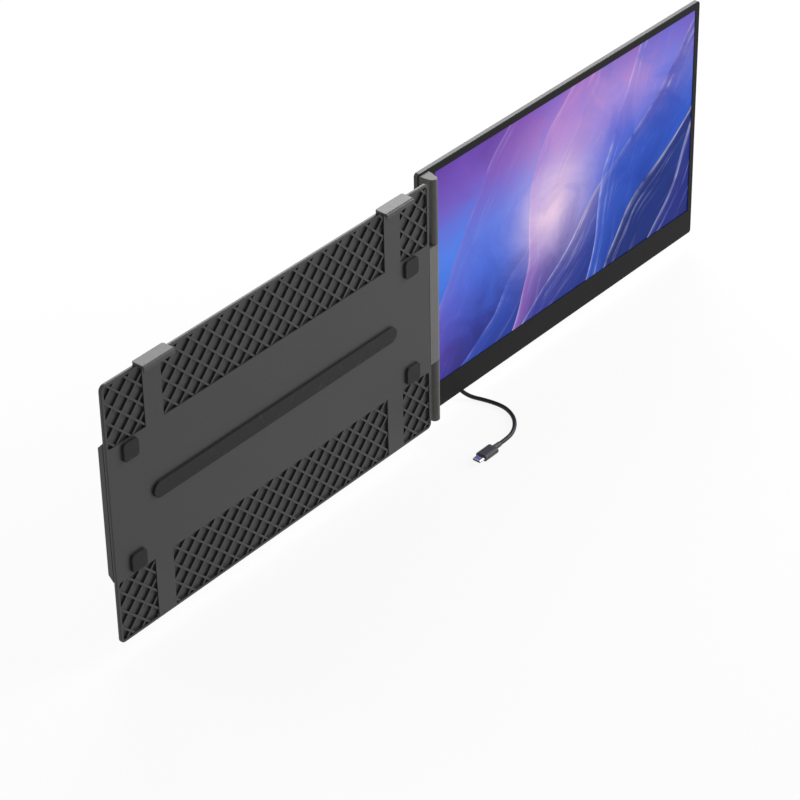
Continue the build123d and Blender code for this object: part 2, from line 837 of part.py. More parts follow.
def plug_tip(plane, reach):
    """Hollow metal tip of a plug, standing on a plane and open at its far end."""
    with BuildPart() as tip:
        with BuildSketch(plane):
            SlotOverall(plug_tip_width, plug_tip_thickness)
        extrude(amount=reach)
        with BuildSketch(plane.offset(1.0)):
            SlotOverall(plug_tip_width - 2 * plug_tip_wall, plug_tip_thickness - 2 * plug_tip_wall)
        extrude(amount=reach - 1.0, mode=Mode.SUBTRACT)
    return tip


def screen_plug():
    mouth = housing_bottom + 0.1
    top = housing_bottom - 0.3
    bottom = top - plug_length
    with BuildPart() as body:
        with BuildSketch(Plane.XY.offset(bottom)):
            with Locations((port_x, socket_y)):
                RectangleRounded(plug_width, plug_thickness, plug_thickness / 2 - 0.1)
        extrude(amount=plug_length)
        fillet(body.faces().sort_by(Axis.Z)[0].edges(), 0.8)
    write(body, "screen_plug_body")
    tip_plane = Plane(origin=(port_x, socket_y, top), x_dir=(1, 0, 0), z_dir=(0, 0, 1))
    write(plug_tip(tip_plane, plug_tip_length + mouth - housing_bottom), "screen_plug_shell")
    with BuildPart() as relief:
        with BuildSketch(Plane.XY.offset(bottom)):
            with Locations((port_x, socket_y)):
                Circle(relief_radius)
        with BuildSketch(Plane.XY.offset(bottom - relief_length)):
            with Locations((port_x, socket_y)):
                Circle(relief_tip_radius)
        loft()
    write(relief, "screen_plug_relief")
    return (port_x, socket_y, bottom - relief_length)


def laptop_plug():
    right = laptop_plug_right
    left = right - laptop_plug_length
    y = laptop_plug_y
    z = table_level + plug_thickness / 2
    with BuildPart() as body:
        with BuildSketch(Plane.YZ.offset(left)):
            with Locations((y, z)):
                RectangleRounded(plug_width, plug_thickness, plug_thickness / 2 - 0.1)
        extrude(amount=laptop_plug_length)
        fillet(body.faces().sort_by(Axis.X)[-1].edges(), 0.8)
    write(body, "laptop_plug_body")
    tip_plane = Plane(origin=(left, y, z), x_dir=(0, 1, 0), z_dir=(-1, 0, 0))
    write(plug_tip(tip_plane, plug_tip_length), "laptop_plug_shell")
    with BuildPart() as relief:
        with BuildSketch(Plane.YZ.offset(right)):
            with Locations((y, z)):
                Circle(relief_radius)
        with BuildSketch(Plane.YZ.offset(right + relief_length)):
            with Locations((y, z)):
                Circle(relief_tip_radius)
        loft()
    write(relief, "laptop_plug_relief")
    return (right + relief_length, y, z)


def usb_lead(start, end):
    route = [
        start,
        (start[0], start[1], start[2] - 8.0),
        (245.0, 29.2, -95.6),
        (245.4, 31.0, -106.2),
        (246.4, 28.4, -115.6),
        (248.4, 22.4, -122.7),
        (251.0, 14.0, -126.2),
        (253.8, 4.2, -126.2),
        (255.8, -6.2, -126.2),
        (256.2, -16.8, -126.2),
        (252.8, -26.8, -126.2),
        (246.8, -35.4, -126.2),
        (238.6, -42.0, -126.2),
        (229.4, -46.4, -125.9),
        (219.8, -48.5, -125.1),
        end,
    ]
    points = [Vector(*point) for point in route]
    radii = []
    for before, here, after in zip(points, points[1:], points[2:]):
        turn = (here - before).get_angle(after - here)
        shorter = min((here - before).length, (after - here).length)
        radii.append(0.45 * shorter / tan(radians(turn / 2)))
    print("lead radii", [round(radius, 1) for radius in radii])
    with BuildPart() as lead:
        with BuildLine():
            path = FilletPolyline(*points, radius=radii)
        with BuildSketch(Plane(origin=path @ 0, z_dir=path % 0)):
            Circle(lead_radius)
        sweep()
    expected = pi * lead_radius**2 * path.length
    print("lead length", round(path.length, 1), "volume", round(lead.part.volume, 1), round(expected, 1))
    write(lead, "usb_c_lead")


os.makedirs("parts", exist_ok=True)
tray_frame()
channel_covers()
lid_pads()
rear_cover()
cover_screws()
hooks()
hook_springs()
kickstand()
hinge_knuckle()
hinge_shafts()
hinge_arms()
screen_bezel()
display_module()
screen_back_shell()
electronics()
control_keys()
usb_lead(screen_plug(), laptop_plug())
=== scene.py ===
import math
import bpy
from mathutils import Matrix, Vector


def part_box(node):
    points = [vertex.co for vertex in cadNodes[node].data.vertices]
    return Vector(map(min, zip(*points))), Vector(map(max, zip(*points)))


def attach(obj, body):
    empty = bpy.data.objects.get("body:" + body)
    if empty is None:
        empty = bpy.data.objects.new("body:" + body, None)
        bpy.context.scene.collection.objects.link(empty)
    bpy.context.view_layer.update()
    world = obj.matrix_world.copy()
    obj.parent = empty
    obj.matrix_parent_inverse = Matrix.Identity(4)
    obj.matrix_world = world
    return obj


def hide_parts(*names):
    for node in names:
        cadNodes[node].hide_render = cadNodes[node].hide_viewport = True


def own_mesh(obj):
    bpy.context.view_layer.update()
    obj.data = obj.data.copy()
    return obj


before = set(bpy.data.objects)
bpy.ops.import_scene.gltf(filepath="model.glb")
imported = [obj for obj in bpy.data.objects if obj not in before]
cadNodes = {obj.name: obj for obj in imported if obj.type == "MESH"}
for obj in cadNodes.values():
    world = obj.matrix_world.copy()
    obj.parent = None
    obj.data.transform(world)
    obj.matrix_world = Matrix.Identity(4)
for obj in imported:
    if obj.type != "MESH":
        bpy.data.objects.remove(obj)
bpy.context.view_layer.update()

bpy.ops.object.select_all(action="DESELECT")


# a shader socket that takes part in arithmetic, with the node tree it belongs to
class Wire:
    def __init__(self, tree, socket=None):
        self.tree = tree
        self.socket = socket

    def feed(self, socket, value):
        if isinstance(value, Wire):
            self.tree.links.new(value.socket, socket)
        else:
            socket.default_value = value

    # any other node: its type, its settings, then what goes in its sockets
    def node(self, kind, settings=None, inputs=None, output=0):
        made = self.tree.nodes.new(kind)
        for key, value in (settings or {}).items():
            if key == "stops":
                self.rampStops(made.color_ramp, value)
            else:
                setattr(made, key, value)
        for key, value in (inputs or {}).items():
            self.feed(made.inputs[key], value)
        return Wire(self.tree, made.outputs[output])

    def other(self, output):
        return Wire(self.tree, self.socket.node.outputs[output])

    def rampStops(self, ramp, stops):
        while len(ramp.elements) < len(stops):
            ramp.elements.new(0.5)
        for element, (place, colour) in zip(ramp.elements, stops):
            element.position = place
            element.color = (*colour, 1.0)

    def maths(self, operation, first, second=0.0):
        return self.node("ShaderNodeMath", {"operation": operation}, {0: first, 1: second})

    def __add__(self, other):
        return self.maths("ADD", self, other)

    def __radd__(self, other):
        return self.maths("ADD", other, self)

    def __sub__(self, other):
        return self.maths("SUBTRACT", self, other)

    def __rsub__(self, other):
        return self.maths("SUBTRACT", other, self)

    def __mul__(self, other):
        return self.maths("MULTIPLY", self, other)

    def __rmul__(self, other):
        return self.maths("MULTIPLY", other, self)

    def __truediv__(self, other):
        return self.maths("DIVIDE", self, other)

    def __pow__(self, other):
        return self.maths("POWER", self, other)

    def __lt__(self, other):
        return self.maths("LESS_THAN", self, other)

    def __gt__(self, other):
        return self.maths("GREATER_THAN", self, other)


def newMaterial(name, constants):
    material = bpy.data.materials.new(name)
    material.use_nodes = True
    shader = material.node_tree.nodes["Principled BSDF"]
    for key, value in constants.items():
        shader.inputs[key].default_value = value
    return material, Wire(material.node_tree), shader


def noiseOf(wire, coords, scale, detail=2.0, roughness=0.5, distortion=0.0):
    return wire.node("ShaderNodeTexNoise", {}, {
        "Vector": coords, "Scale": scale, "Detail": detail, "Roughness": roughness,
        "Distortion": distortion,
    })


def cellsOf(wire, coords, scale):
    return wire.node("ShaderNodeTexVoronoi", {"feature": "F1"}, {"Vector": coords, "Scale": scale})


def spread(noise, low, high):
    return noise * (high - low) + low


# several patterns added up, each by its share
def mixedBy(shares, *patterns):
    total = patterns[0] * shares[0]
    for share, pattern in zip(shares[1:], patterns[1:]):
        total = total + pattern * share
    return total


# a colour between two others; a Mix node's colour inputs are 6 and 7, and its colour output 2
def blended(wire, amount, first, second):
    ends = [value if isinstance(value, Wire) else (*value, 1) for value in (first, second)]
    sockets = {0: amount, 6: ends[0], 7: ends[1]}
    return wire.node("ShaderNodeMix", {"data_type": "RGBA"}, sockets, 2)


def stepped(wire, value, start, end):
    return wire.node("ShaderNodeMapRange", {"interpolation_type": "SMOOTHSTEP"}, {
        "Value": value, "From Min": start, "From Max": end,
    })


def bumped(wire, height, distance, strength):
    return wire.node("ShaderNodeBump", {}, {
        "Height": height, "Distance": distance, "Strength": strength,
    })


def objectCoords(wire):
    return wire.node("ShaderNodeTexCoord", {}, {}, "Object")


def stretchedCoords(wire, scales):
    return wire.node("ShaderNodeMapping", {}, {"Vector": objectCoords(wire), "Scale": scales})


# what every finish ends with: its colours by tone, its roughness by sheen, and its relief
def finished(wire, shader, look, tone, sheen, relief):
    wire.feed(shader.inputs["Base Color"], blended(wire, tone, look["dark"], look["light"]))
    wire.feed(shader.inputs["Roughness"], spread(sheen, *look["roughness"]))
    wire.feed(shader.inputs["Normal"], relief)


# fine spark-eroded grain with faint flow marks, as on moulded housings
mouldMarks = {
    "broadScale": 14.0, "flowScale": 9.0, "flowStretch": (3.0, 3.0, 40.0),
    "toneShares": (0.45, 0.35, 0.2), "sheenShares": (0.6, 0.4), "relief": 0.6,
}


def mouldedPlastic(name, look):
    material, wire, shader = newMaterial(name, {"Specular IOR Level": look["gloss"], "IOR": 1.5})
    coords = objectCoords(wire)
    grain = noiseOf(wire, coords, look["grainScale"], detail=3.0, roughness=0.6)
    broad = noiseOf(wire, coords, mouldMarks["broadScale"], detail=4.0, roughness=0.55)
    flowCoords = stretchedCoords(wire, mouldMarks["flowStretch"])
    flow = noiseOf(wire, flowCoords, mouldMarks["flowScale"])
    tone = mixedBy(mouldMarks["toneShares"], grain, broad, flow)
    sheen = mixedBy(mouldMarks["sheenShares"], grain, broad)
    relief = bumped(wire, grain, look["depth"], mouldMarks["relief"])
    finished(wire, shader, look, tone, sheen, relief)
    return material


# drawn or machined metal with fine lines along one axis
metalMarks = {
    "broadScale": 60.0, "toneShares": (0.6, 0.4), "sheenShares": (0.7, 0.3),
    "depth": 0.00002, "relief": 0.35,
}


def drawnMetal(name, look):
    material, wire, shader = newMaterial(name, {"Metallic": 1.0})
    lineCoords = stretchedCoords(wire, look["lines"])
    lines = noiseOf(wire, lineCoords, scale=1.0, detail=3.0, roughness=0.6)
    broad = noiseOf(wire, objectCoords(wire), metalMarks["broadScale"], detail=3.0)
    tone = mixedBy(metalMarks["toneShares"], lines, broad)
    sheen = mixedBy(metalMarks["sheenShares"], lines, broad)
    relief = bumped(wire, lines, metalMarks["depth"], metalMarks["relief"])
    finished(wire, shader, look, tone, sheen, relief)
    return material


# satin paint on cast metal, with a faint orange peel and fine flake
paintMarks = {
    "flakeScale": 4200.0, "peelScale": 900.0, "broadScale": 16.0,
    "toneShares": (0.4, 0.6), "sheenShares": (0.5, 0.5), "depth": 0.00002, "relief": 0.5,
}


def satinPaint(name, look):
    material, wire, shader = newMaterial(name, {"Specular IOR Level": look["gloss"]})
    coords = objectCoords(wire)
    flake = cellsOf(wire, coords, paintMarks["flakeScale"])
    peel = noiseOf(wire, coords, paintMarks["peelScale"])
    broad = noiseOf(wire, coords, paintMarks["broadScale"], detail=3.0)
    tone = mixedBy(paintMarks["toneShares"], flake, broad)
    sheen = mixedBy(paintMarks["sheenShares"], peel, broad)
    relief = bumped(wire, peel, paintMarks["depth"], paintMarks["relief"])
    finished(wire, shader, look, tone, sheen, relief)
    wire.feed(shader.inputs["Metallic"], spread(flake, 0.0, look["metal"]))
    return material


# soft matt rubber with a stipple and a little dust
rubberMarks = {
    "gloss": 0.3, "dustScale": 120.0, "dustFrom": 0.52, "dustTo": 0.8,
    "toneShares": (0.7, 0.3), "relief": 0.7,
}


def mattRubber(name, look):
    material, wire, shader = newMaterial(name, {"Specular IOR Level": rubberMarks["gloss"]})
    coords = objectCoords(wire)
    stipple = cellsOf(wire, coords, look["stipple"])
    dust = noiseOf(wire, coords, rubberMarks["dustScale"], detail=5.0, roughness=0.65)
    speck = stepped(wire, dust, rubberMarks["dustFrom"], rubberMarks["dustTo"])
    tone = mixedBy(rubberMarks["toneShares"], speck, stipple)
    relief = bumped(wire, stipple, look["depth"], rubberMarks["relief"])
    finished(wire, shader, look, tone, dust, relief)
    return material


# green solder mask over copper tracks
def circuitBoard(name, look):
    material, wire, shader = newMaterial(name, {"Specular IOR Level": look["gloss"]})
    coords = wire.node("ShaderNodeMapping", {}, {
        "Vector": objectCoords(wire), "Rotation": (math.radians(look["turned"]), 0.0, 0.0),
    })
    tracks = wire.node("ShaderNodeTexBrick", {
        "offset": look["trackOffset"], "squash": look["trackSquash"],
    }, {
        "Vector": coords, "Scale": look["trackScale"], "Mortar Size": look["trackWidth"],
        "Color1": (0, 0, 0, 1), "Color2": (0.25, 0.25, 0.25, 1), "Mortar": (1, 1, 1, 1),
    })
    cloth = noiseOf(wire, coords, look["clothScale"])
    mask = wire.node("ShaderNodeRGBToBW", {}, {"Color": tracks})
    tone = mixedBy(look["toneShares"], mask, cloth)
    relief = bumped(wire, mask, look["depth"], look["relief"])
    finished(wire, shader, look, tone, cloth, relief)
    return material


# how each silk ribbon of the lit picture curls, frays and catches the light
silkLook = {
    "curlTurns": 2.3, "curlPhase": 1.7, "curlSwing": 0.2, "edge": 0.005,
    "grainAlong": 2.2, "grainAcross": 38.0,
    "bodyStreaks": (0.25, 0.75), "streakDepth": 0.18,
    "rimFall": -130.0, "rimLight": 0.8, "sheenFall": -11.0, "sheenStreaks": (0.5, 0.78),
    "litCloud": (0.34, 0.62), "shineColour": (0.72, 0.74, 1.0),
}


# a ribbon laid over the picture: it starts at a lit edge and fades out below it
def silkRibbon(wire, picture, ribbon, along, over, drift, cloud):
    turning = along * ribbon["turns"] + ribbon["phase"]
    curlTurns = ribbon["turns"] * silkLook["curlTurns"]
    curling = along * curlTurns + ribbon["phase"] * silkLook["curlPhase"]
    swell = wire.maths("SINE", turning) * ribbon["swing"]
    curl = wire.maths("SINE", curling) * (ribbon["swing"] * silkLook["curlSwing"])
    climb = along * ribbon["climb"]
    below = swell + curl + climb + drift * ribbon["drift"] + ribbon["place"] - over
    inner = wire.maths("MAXIMUM", below, 0.0)
    edge = stepped(wire, below, 0.0, silkLook["edge"])
    grain = wire.node("ShaderNodeCombineXYZ", {}, {
        "X": along * silkLook["grainAlong"], "Y": below * silkLook["grainAcross"],
        "Z": ribbon["place"],
    })
    streak = noiseOf(wire, grain, scale=1.0, detail=5.0, roughness=0.62)
    depth = silkLook["streakDepth"]
    frayed = stepped(wire, streak, *silkLook["bodyStreaks"]) * depth + (1.0 - depth)
    fall = wire.maths("EXPONENT", inner * (-1.0 / ribbon["fade"]))
    body = edge * fall * frayed * ribbon["light"]
    rim = wire.maths("EXPONENT", inner * silkLook["rimFall"]) * silkLook["rimLight"]
    sheenFall = wire.maths("EXPONENT", inner * silkLook["sheenFall"])
    sheen = sheenFall * stepped(wire, streak, *silkLook["sheenStreaks"])
    lit = (rim + sheen) * edge * stepped(wire, cloud, *silkLook["litCloud"]) * ribbon["shine"]
    shine = wire.maths("MINIMUM", lit, 1.0)
    return blended(wire, shine, blended(wire, body, picture, ribbon["colour"]),
                   silkLook["shineColour"])


# the lit picture: ribbons of silky light that sweep across a violet and blue ground
def litPanel(name, look):
    material, wire, shader = newMaterial(name, {
        "Base Color": look["glass"], "Specular IOR Level": look["gloss"],
        "Emission Strength": look["strength"],
    })
    place = wire.node("ShaderNodeSeparateXYZ", {}, {"Vector": objectCoords(wire)})
    across = (place - look["left"]) / look["width"]
    up = (place.other("Z") - look["bottom"]) / look["height"]
    wide = across * look["shape"]
    flat = wire.node("ShaderNodeCombineXYZ", {}, {"X": wide, "Y": up})
    sweep = math.radians(look["sweep"])
    along = wide * math.cos(sweep) + up * math.sin(sweep)
    over = up * math.cos(sweep) - wide * math.sin(sweep)
    drift = noiseOf(wire, flat, look["driftScale"]) - 0.5
    cloud = noiseOf(wire, flat, look["cloudScale"], detail=6.0, roughness=0.6, distortion=0.8)
    tone = mixedBy(look["groundShares"], up, across, drift, cloud)
    picture = wire.node("ShaderNodeValToRGB", {"stops": look["ground"]}, {"Fac": tone})
    for ribbon in look["ribbons"]:
        picture = silkRibbon(wire, picture, ribbon, along, over, drift, cloud)
    haze = stepped(wire, cloud, *look["glowCloud"]) * (1.0 - look["glowLeast"]) + look["glowLeast"]
    for glow in look["glows"]:
        sideways = (across - glow["at"][0]) ** 2.0 * glow["narrow"][0]
        away = (up - glow["at"][1]) ** 2.0 * glow["narrow"][1] + sideways
        halo = wire.maths("EXPONENT", away * -1.0) * haze
        picture = blended(wire, halo * glow["light"], picture, glow["colour"])
    onFace = (up > 0.0) * (up < 1.0) * (place.other("Y") < look["frontFace"])
    inside = (across > 0.0) * (across < 1.0) * onFace
    grain = noiseOf(wire, objectCoords(wire), look["grainScale"], detail=1.0)
    wire.feed(shader.inputs["Emission Color"], blended(wire, inside, look["unlit"], picture))
    wire.feed(shader.inputs["Roughness"], spread(grain, *look["roughness"]))
    return material


def dress(names, material):
    for name in names:
        piece = cadNodes[name]
        piece.data.materials.clear()
        piece.data.materials.append(material)


# selects the faces that look along a direction, on a mesh in edit mode
def pickFaces(piece, direction, squareOn=0.9):
    bpy.ops.mesh.select_mode(type="FACE")
    bpy.ops.mesh.select_all(action="DESELECT")
    bpy.ops.object.mode_set(mode="OBJECT")
    for face in piece.data.polygons:
        face.select = face.normal.dot(Vector(direction)) > squareOn
    bpy.ops.object.mode_set(mode="EDIT")


def onlySelect(pieces):
    bpy.ops.object.select_all(action="DESELECT")
    for piece in pieces:
        piece.select_set(True)
    bpy.context.view_layer.objects.active = pieces[0]


def applyPlace(piece):
    onlySelect([piece])
    bpy.ops.object.transform_apply(location=True, rotation=True, scale=True)


# an extrusion or a cut lists its faces in another order each time, so they are put in one
# order, by how far they lie from a point that is off every axis
def fixOrder(piece, farPoint=(0.0113, 0.0271, 0.0197)):
    onlySelect([piece])
    bpy.context.scene.cursor.location = farPoint
    bpy.ops.object.mode_set(mode="EDIT")
    bpy.ops.mesh.select_all(action="SELECT")
    bpy.ops.mesh.sort_elements(type="CURSOR_DISTANCE", elements={"VERT", "EDGE", "FACE"})
    bpy.ops.object.mode_set(mode="OBJECT")


# a copy of one piece at each place, joined as one mesh in the order of the places
def spreadCopies(original, places, name):
    copies = []
    for place in places:
        piece = original.copy()
        piece.data = original.data.copy()
        bpy.context.scene.collection.objects.link(piece)
        piece.location = place
        applyPlace(piece)
        copies.append(piece)
    bpy.data.objects.remove(original)
    for piece in copies[1:]:
        onlySelect([copies[0], piece])
        bpy.ops.object.join()
    copies[0].name = name
    return copies[0]


view = {
    "place": (-1.45702, -1.35309, 1.34499),
    "right": (0.63786404, -0.76998933, -0.01568123),
    "up": (0.43856531, 0.34642222, 0.82924792),
    "back": (-0.63307972, -0.53582467, 0.55866089),
    "lens": 141.005,
    "sensor": 36.0,
    "farEnd": 50.0,
}
cameraData = bpy.data.cameras.new("studioCamera")
cameraData.lens = view["lens"]
cameraData.sensor_width = view["sensor"]
cameraData.clip_end = view["farEnd"]
camera = bpy.data.objects.new("studioCamera", cameraData)
bpy.context.scene.collection.objects.link(camera)
turn = Matrix((view["right"], view["up"], view["back"])).transposed()
camera.matrix_world = Matrix.Translation(view["place"]) @ turn.to_4x4()
bpy.context.scene.camera = camera
print("camera placed")

# USB-C lead, from the socket behind the screen down to the table and on to the laptop plug
leadLook = {
    "diameter": 0.0036,
    "length": 0.1502,
    "order": 3,
    "stepsAlong": 10,
    "stepsRound": 6,
    "route": [
        (0.245, 0.0257, -0.0773), (0.245, 0.0257, -0.0853), (0.245, 0.0292, -0.0956),
        (0.2454, 0.031, -0.1062), (0.2464, 0.0284, -0.1156), (0.2484, 0.0224, -0.1227),
        (0.251, 0.014, -0.1262), (0.2538, 0.0042, -0.1262), (0.2558, -0.0062, -0.1262),
        (0.2562, -0.0168, -0.1262), (0.2528, -0.0268, -0.1262), (0.2468, -0.0354, -0.1262),
        (0.2386, -0.042, -0.1262), (0.2294, -0.0464, -0.1259), (0.2198, -0.0485, -0.1251),
        (0.21, -0.0485, -0.1251),
    ],
}
leadCurve = bpy.data.curves.new("usbLead", "CURVE")
leadCurve.dimensions = "3D"
leadCurve.resolution_u = leadLook["stepsAlong"]
leadCurve.bevel_depth = 1.0  # each point's radius then holds the lead's own
leadCurve.bevel_resolution = leadLook["stepsRound"]
leadCurve.use_fill_caps = True
leadLine = leadCurve.splines.new("NURBS")
leadLine.points.add(len(leadLook["route"]) - 1)
for point, place in zip(leadLine.points, leadLook["route"]):
    point.co = (*place, 1.0)
    point.radius = leadLook["diameter"] / 2
leadLine.order_u = leadLook["order"]
leadLine.use_endpoint_u = True
usbLead = bpy.data.objects.new("usbLead", leadCurve)
bpy.context.scene.collection.objects.link(usbLead)
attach(usbLead, "screen")
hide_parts("usb_c_lead")

# two rows of gilt contacts on the inner walls of the laptop plug's shell
contactLook = {
    "perRow": 12,
    "pitch": 0.0005,
    "width": 0.00028,
    "thickness": 0.00012,
    "length": 0.0036,
    "nose": 0.0005,
    "noseShare": 0.45,
    "setBack": 0.001,
    "shellWall": 0.0005,
}


# a flat strip that runs back from the origin, with a tapered nose in front of it
def plugContact(size):
    bpy.ops.mesh.primitive_cube_add(size=1.0, location=(size["length"] / 2, 0.0, 0.0))
    contact = bpy.context.object
    contact.scale = (size["length"], size["width"], size["thickness"])
    applyPlace(contact)
    bpy.ops.object.mode_set(mode="EDIT")
    pickFaces(contact, (-1, 0, 0))
    bpy.ops.mesh.extrude_region_move(
        TRANSFORM_OT_translate={"value": (-size["nose"], 0.0, 0.0)})
    bpy.ops.transform.resize(value=(1.0, size["noseShare"], size["noseShare"]),
                             center_override=(-size["nose"], 0.0, 0.0))
    bpy.ops.object.mode_set(mode="OBJECT")
    fixOrder(contact)
    return contact


tipLow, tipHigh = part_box("laptop_plug_shell")
contactFront = tipLow[0] + contactLook["setBack"] + contactLook["nose"]
rowMiddle = (tipLow[1] + tipHigh[1]) / 2
wallInset = contactLook["shellWall"] + contactLook["thickness"] / 2
contactPlaces = []
for height in (tipLow[2] + wallInset, tipHigh[2] - wallInset):
    for index in range(contactLook["perRow"]):
        sideways = (index - (contactLook["perRow"] - 1) / 2) * contactLook["pitch"]
        contactPlaces.append((contactFront, rowMiddle + sideways, height))
plugContacts = spreadCopies(plugContact(contactLook), contactPlaces, "plugContacts")
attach(plugContacts, "screen")

leadEnds = [plugContacts] + [cadNodes[name] for name in (
    "screen_plug_body", "screen_plug_shell", "screen_plug_relief",
    "laptop_plug_body", "laptop_plug_shell", "laptop_plug_relief",
)]
print("lead laid")


# countersunk screws that hold the rear cover, each with a cross recess
screwLook = {
    "columns": (-0.176, -0.114, 0.117, 0.172),
    "rows": (-0.044, 0.05),
    "sides": 40,
    "headRadius": 0.00174,
    "shankRadius": 0.00098,
    "headDepth": 0.00079,
    "rimBevel": 0.00012,
    "rimSteps": 3,
    "sharpAngle": 30,
    "recessLength": 0.0022,
    "recessWidth": 0.00042,
    "recessDepth": 0.0007,
    "recessTaper": 0.55,
}


# one of the two blades that cut the cross recess, narrower towards the point
def recessBlade(back, turned):
    length, width = screwLook["recessLength"], screwLook["recessWidth"]
    bpy.ops.mesh.primitive_cube_add(size=1.0, location=(0.0, back, 0.0))
    blade = bpy.context.object
    blade.scale = (length, 2 * screwLook["recessDepth"], width)
    if turned:
        blade.rotation_euler = (0.0, math.radians(90), 0.0)
    applyPlace(blade)
    bpy.ops.object.mode_set(mode="EDIT")
    pickFaces(blade, (0, -1, 0))
    bpy.ops.transform.resize(value=(screwLook["recessTaper"], 1.0, screwLook["recessTaper"]),
                             center_override=(0.0, back, 0.0))
    bpy.ops.object.mode_set(mode="OBJECT")
    return blade


# a screw along Y from the shank's front end to the head's back
def crossScrew(front, back):
    headFront = back - screwLook["headDepth"]
    bpy.ops.mesh.primitive_cone_add(
        vertices=screwLook["sides"], radius1=screwLook["shankRadius"],
        radius2=screwLook["headRadius"], depth=screwLook["headDepth"],
        location=(0.0, (back + headFront) / 2, 0.0), rotation=(math.radians(-90), 0.0, 0.0))
    screw = bpy.context.object
    applyPlace(screw)
    bpy.ops.object.mode_set(mode="EDIT")
    pickFaces(screw, (0, -1, 0))
    bpy.ops.mesh.extrude_region_move(
        TRANSFORM_OT_translate={"value": (0.0, front - headFront, 0.0)})
    pickFaces(screw, (0, 1, 0))
    bpy.ops.mesh.bevel(
        offset=screwLook["rimBevel"], segments=screwLook["rimSteps"], affect="EDGES")
    bpy.ops.object.mode_set(mode="OBJECT")
    for turned in (False, True):
        blade = recessBlade(back, turned)
        onlySelect([screw])
        cut = screw.modifiers.new("recess", "BOOLEAN")
        cut.operation = "DIFFERENCE"
        cut.object = blade
        bpy.ops.object.modifier_apply(modifier="recess")
        bpy.data.objects.remove(blade)
    fixOrder(screw)
    bpy.ops.object.shade_smooth_by_angle(angle=math.radians(screwLook["sharpAngle"]))
    return screw


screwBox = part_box("cover_screws")
screwPlaces = [(x, 0.0, z) for x in screwLook["columns"] for z in screwLook["rows"]]
screw = crossScrew(screwBox[0][1], screwBox[1][1])
coverScrews = spreadCopies(screw, screwPlaces, "coverScrews")
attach(coverScrews, "tray")
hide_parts("cover_screws")
print("screws in")

# the hooks' compression springs, which shorten under their sliders as a hook is raised; here each
# is built at one fixed length
springLook = {
    "wire": 0.0007,
    "wireSides": 10,
    "coilWidth": 0.0036,
    "turns": 8,
    "stepsPerTurn": 28,
    "weld": 0.00001,
    "sharpAngle": 50,
    "travel": 0.018,
}


def hookSpring(side):
    low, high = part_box(f"hook_spring_{side}")
    middle = [(first + second) / 2 for first, second in zip(low, high)]
    height = high[2] - low[2] - springLook["wire"]
    bpy.ops.mesh.primitive_circle_add(
        vertices=springLook["wireSides"], radius=springLook["wire"] / 2, fill_type="NOTHING",
        location=((springLook["coilWidth"] - springLook["wire"]) / 2, 0.0, 0.0),
        rotation=(math.radians(90), 0.0, 0.0))
    spring = bpy.context.object
    spring.name = f"hookSpring{side.capitalize()}"
    applyPlace(spring)
    winding = spring.modifiers.new("winding", "SCREW")
    winding.screw_offset = height / springLook["turns"]
    winding.iterations = springLook["turns"]
    winding.steps = springLook["stepsPerTurn"]
    winding.render_steps = springLook["stepsPerTurn"]
    bpy.ops.object.modifier_apply(modifier="winding")
    bpy.ops.object.mode_set(mode="EDIT")
    bpy.ops.mesh.select_all(action="SELECT")
    bpy.ops.mesh.remove_doubles(threshold=springLook["weld"])
    bpy.ops.mesh.fill_holes(sides=0)  # the wire's two ends, whatever their number of sides
    bpy.ops.mesh.select_all(action="SELECT")
    bpy.ops.mesh.normals_make_consistent(inside=False)
    bpy.ops.object.mode_set(mode="OBJECT")
    bpy.ops.object.shade_smooth_by_angle(angle=math.radians(springLook["sharpAngle"]))
    spring.location = (middle[0], middle[1], low[2] + springLook["wire"] / 2)
    applyPlace(spring)
    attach(spring, "tray")
    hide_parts(f"hook_spring_{side}")
    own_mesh(spring)
    return spring


hookSprings = [hookSpring(side) for side in ("left", "right")]
print("springs in")

trayPlastic = mouldedPlastic("trayPlastic", {
    "dark": (0.022, 0.0222, 0.023), "light": (0.046, 0.0464, 0.048),
    "roughness": (0.32, 0.46), "grainScale": 1500.0, "depth": 0.00008, "gloss": 0.36,
})
hookPlastic = mouldedPlastic("hookPlastic", {
    "dark": (0.04, 0.0402, 0.041), "light": (0.07, 0.0704, 0.072),
    "roughness": (0.32, 0.46), "grainScale": 1500.0, "depth": 0.00008, "gloss": 0.36,
})
bezelPlastic = mouldedPlastic("bezelPlastic", {
    "dark": (0.003, 0.003, 0.0032), "light": (0.008, 0.008, 0.0084),
    "roughness": (0.5, 0.66), "grainScale": 1700.0, "depth": 0.00006, "gloss": 0.12,
})
shellPlastic = mouldedPlastic("shellPlastic", {
    "dark": (0.02, 0.0202, 0.021), "light": (0.038, 0.0384, 0.0395),
    "roughness": (0.34, 0.48), "grainScale": 1700.0, "depth": 0.00006, "gloss": 0.34,
})
keyPlastic = mouldedPlastic("keyPlastic", {
    "dark": (0.025, 0.025, 0.026), "light": (0.04, 0.04, 0.041),
    "roughness": (0.24, 0.36), "grainScale": 2400.0, "depth": 0.00003, "gloss": 0.5,
})
sliderPlastic = mouldedPlastic("sliderPlastic", {
    "dark": (0.5, 0.5, 0.48), "light": (0.62, 0.62, 0.6),
    "roughness": (0.3, 0.42), "grainScale": 900.0, "depth": 0.00003, "gloss": 0.5,
})
padRubber = mattRubber("padRubber", {
    "dark": (0.01, 0.01, 0.01), "light": (0.045, 0.044, 0.042),
    "roughness": (0.65, 0.9), "stipple": 1400.0, "depth": 0.00008,
})
leadSheath = mattRubber("leadSheath", {
    "dark": (0.006, 0.006, 0.0063), "light": (0.022, 0.022, 0.023),
    "roughness": (0.4, 0.62), "stipple": 2200.0, "depth": 0.00003,
})
